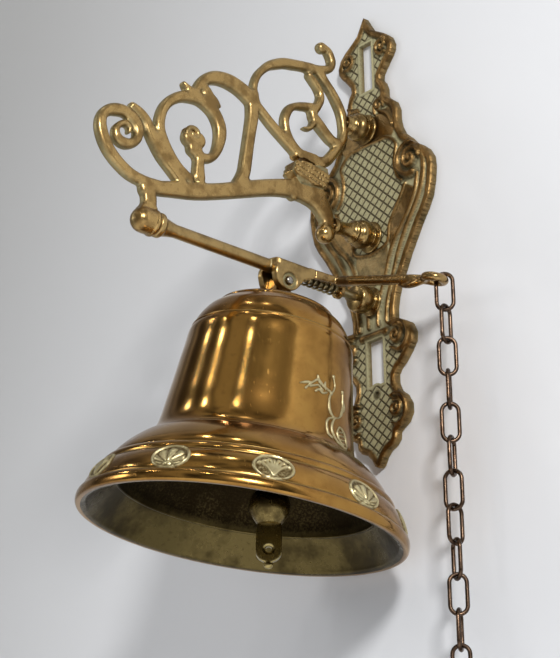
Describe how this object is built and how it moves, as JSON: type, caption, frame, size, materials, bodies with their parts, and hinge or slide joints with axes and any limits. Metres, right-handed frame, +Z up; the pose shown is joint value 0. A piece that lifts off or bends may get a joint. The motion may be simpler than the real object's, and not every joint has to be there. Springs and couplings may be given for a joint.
{
  "type": "wall bell",
  "caption": "Wall-mounted brass bell on a scroll bracket, rung by a hanging chain on a sprung rocker arm, with a swinging clapper inside.",
  "frame": {"origin": "centre of the plate's back face, midway between its upper and lower tips", "axes": "+X along the wall to the side of the pull chain, +Y into the wall, +Z up"},
  "size_m": [0.1714, 0.1765, 0.4302],
  "materials": {
    "cast_brass": "old polished brass, brown in the hollows",
    "plate_brass": "aged brass with a pale green-grey patina in the sunk fields",
    "bell_brass": "polished brass, golden brown",
    "dark_brass": "darkened brass",
    "spring_steel": "dull steel",
    "chain_metal": "browned steel wire"
  },
  "bodies": {
    "wall_frame": {"wall_plate": "plate_brass", "scroll_bracket": "cast_brass", "upper_standoff": "cast_brass", "lower_standoff": "cast_brass", "bearing_knob": "cast_brass", "upper_fixing_screw": "spring_steel", "lower_fixing_screw": "spring_steel", "bearing_fixing_screw": "spring_steel"},
    "rocker_frame": {"rocker": "cast_brass", "axle_journal": "spring_steel", "chain_arm": "dark_brass", "return_spring": "spring_steel", "spring_collar": "cast_brass", "bell_pin": "spring_steel", "bell_pin_washer": "cast_brass"},
    "bell": {"bell_shell": "bell_brass", "crown_lug": "cast_brass", "crown_washer": "cast_brass", "crown_nut": "spring_steel", "clapper_pin": "spring_steel"},
    "clapper": {"clapper_rod": "dark_brass", "clapper_ball": "dark_brass"},
    "link_1": {"chain_link_1": "chain_metal"},
    "link_2": {"chain_link_2": "chain_metal"},
    "link_3": {"chain_link_3": "chain_metal"},
    "link_4": {"chain_link_4": "chain_metal"},
    "link_5": {"chain_link_5": "chain_metal"},
    "link_6": {"chain_link_6": "chain_metal"},
    "link_7": {"chain_link_7": "chain_metal"},
    "link_8": {"chain_link_8": "chain_metal"},
    "link_9": {"chain_link_9": "chain_metal"},
    "link_10": {"chain_link_10": "chain_metal"},
    "link_11": {"chain_link_11": "chain_metal"},
    "link_12": {"chain_link_12": "chain_metal"},
    "link_13": {"chain_link_13": "chain_metal"},
    "link_14": {"chain_link_14": "chain_metal"},
    "ring": {"pull_ring": "chain_metal"}
  },
  "joints": [
    {"name": "rocker_swing", "type": "hinge", "parent": "wall_frame", "child": "rocker_frame", "pos_m": [0, -0.146, -0.029], "axis": [0, 0.9979, -0.0645], "range_deg": [-12, 22], "stiffness_Nm_per_rad": 0.158, "springref_deg": 35.41},
    {"name": "bell_pitch", "type": "hinge", "parent": "rocker_frame", "child": "bell", "pos_m": [-0.00063, -0.06424, -0.04107], "axis": [0.9957, -0.006, -0.0922], "range_deg": [-7, 0.4]},
    {"name": "clapper_swing", "type": "hinge", "parent": "bell", "child": "clapper", "pos_m": [-0.0028, -0.06739, -0.06436], "axis": [-0.0064, 0.991, -0.1337], "range_deg": [-23, 33]},
    {"name": "link_1_hinge", "type": "hinge", "parent": "rocker_frame", "child": "link_1", "pos_m": [0.06823, -0.01995, -0.05009], "axis": [0.6691, -0.7431, 0], "range_deg": [-6, 7]},
    {"name": "link_2_hinge", "type": "hinge", "parent": "link_1", "child": "link_2", "pos_m": [0.06823, -0.01995, -0.06514], "axis": [0.7431, 0.6691, 0], "range_deg": [-20, 4.5]},
    {"name": "link_3_hinge", "type": "hinge", "parent": "link_2", "child": "link_3", "pos_m": [0.06823, -0.01995, -0.08139], "axis": [-0.2588, 0.9659, 0], "range_deg": [-15, 8]},
    {"name": "link_4_hinge", "type": "hinge", "parent": "link_3", "child": "link_4", "pos_m": [0.06823, -0.01995, -0.09764], "axis": [-0.6428, -0.766, 0], "range_deg": [-6.5, 20]},
    {"name": "link_5_hinge", "type": "hinge", "parent": "link_4", "child": "link_5", "pos_m": [0.06823, -0.01995, -0.11389], "axis": [0.6293, -0.7771, 0], "range_deg": [-13, 7.5]},
    {"name": "link_6_hinge", "type": "hinge", "parent": "link_5", "child": "link_6", "pos_m": [0.06823, -0.01995, -0.13014], "axis": [0.6428, 0.766, 0], "range_deg": [-22, 8]},
    {"name": "link_7_hinge", "type": "hinge", "parent": "link_6", "child": "link_7", "pos_m": [0.06823, -0.01995, -0.14639], "axis": [-0.4695, 0.8829, 0], "range_deg": [-12, 20]},
    {"name": "link_8_hinge", "type": "hinge", "parent": "link_7", "child": "link_8", "pos_m": [0.06823, -0.01995, -0.16264], "axis": [-0.866, -0.5, 0], "range_deg": [-7, 22]},
    {"name": "link_9_hinge", "type": "hinge", "parent": "link_8", "child": "link_9", "pos_m": [0.06823, -0.01995, -0.17889], "axis": [-0.0872, -0.9962, 0], "range_deg": [-20, 20]},
    {"name": "link_10_hinge", "type": "hinge", "parent": "link_9", "child": "link_10", "pos_m": [0.06823, -0.01995, -0.19514], "axis": [0.9272, -0.3746, 0], "range_deg": [-20, 9]},
    {"name": "link_11_hinge", "type": "hinge", "parent": "link_10", "child": "link_11", "pos_m": [0.06823, -0.01995, -0.21139], "axis": [0.6428, 0.766, 0], "range_deg": [-22, 15]},
    {"name": "link_12_hinge", "type": "hinge", "parent": "link_11", "child": "link_12", "pos_m": [0.06823, -0.01995, -0.22764], "axis": [-0.5736, 0.8192, 0], "range_deg": [-20, 22]},
    {"name": "link_13_hinge", "type": "hinge", "parent": "link_12", "child": "link_13", "pos_m": [0.06823, -0.01995, -0.24389], "axis": [0.766, 0.6428, 0], "range_deg": [-20, 22]},
    {"name": "link_14_hinge", "type": "hinge", "parent": "link_13", "child": "link_14", "pos_m": [0.06823, -0.01995, -0.26014], "axis": [0.5736, -0.8192, 0], "range_deg": [-22, 22]},
    {"name": "ring_hinge", "type": "hinge", "parent": "link_14", "child": "ring", "pos_m": [0.06823, -0.01995, -0.27639], "axis": [0.766, 0.6428, 0], "range_deg": [-22, 22]}
  ]
}
